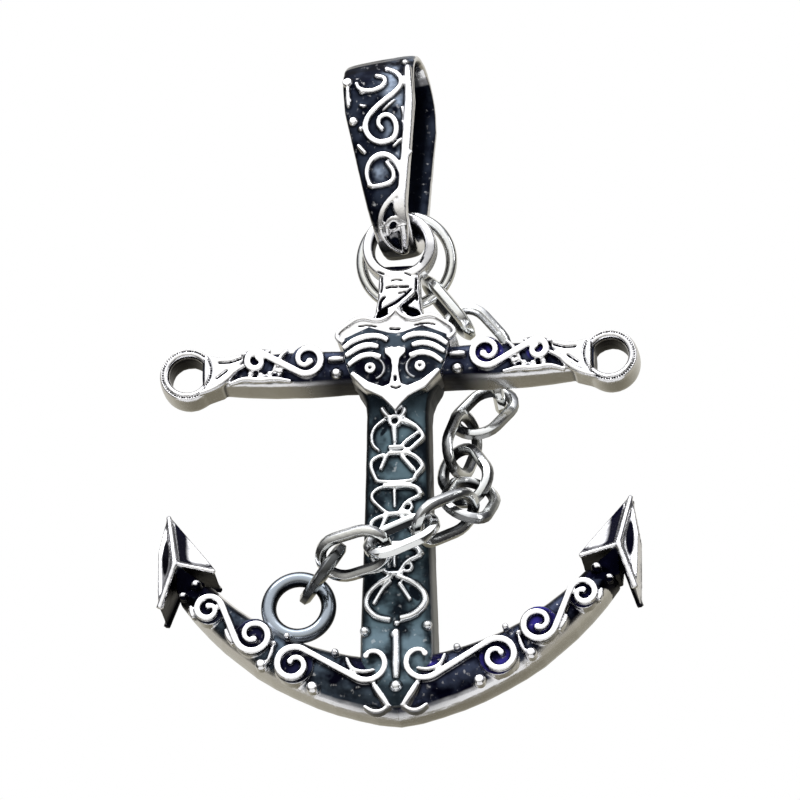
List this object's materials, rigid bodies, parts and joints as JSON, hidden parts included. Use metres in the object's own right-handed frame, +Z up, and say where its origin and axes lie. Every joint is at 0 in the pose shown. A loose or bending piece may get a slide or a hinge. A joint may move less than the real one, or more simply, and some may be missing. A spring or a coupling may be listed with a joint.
{
  "type": "anchor pendant",
  "caption": "Cast silver anchor pendant with scroll relief, a mask at the crossing, a twisted bail and a short cable chain draped across the shank.",
  "frame": {"origin": "inside top of the bail, where a necklace carries the pendant", "axes": "+Z up, -Y the front with the mask, +X towards the wearer's left"},
  "size_m": [0.0378, 0.0135, 0.0564],
  "materials": {
    "cast_silver": "polished high spots over oxidised recesses",
    "wire_silver": "polished"
  },
  "bodies": {
    "bail": {"bail": "cast_silver"},
    "hanging_anchor": {"anchor": "cast_silver", "start_ring": "wire_silver", "link_01": "wire_silver", "link_02": "wire_silver", "link_03": "wire_silver", "link_04": "wire_silver", "link_05": "wire_silver", "link_06": "wire_silver", "link_07": "wire_silver", "link_08": "wire_silver", "link_09": "wire_silver", "link_10": "wire_silver", "link_11": "wire_silver"}
  },
  "joints": [
    {"name": "anchor_swing", "type": "hinge", "parent": "bail", "child": "hanging_anchor", "pos_m": [0.00094, 0, -0.01196], "axis": [0.9872, -0.1392, 0.0777], "range_deg": [-60, 60]}
  ]
}
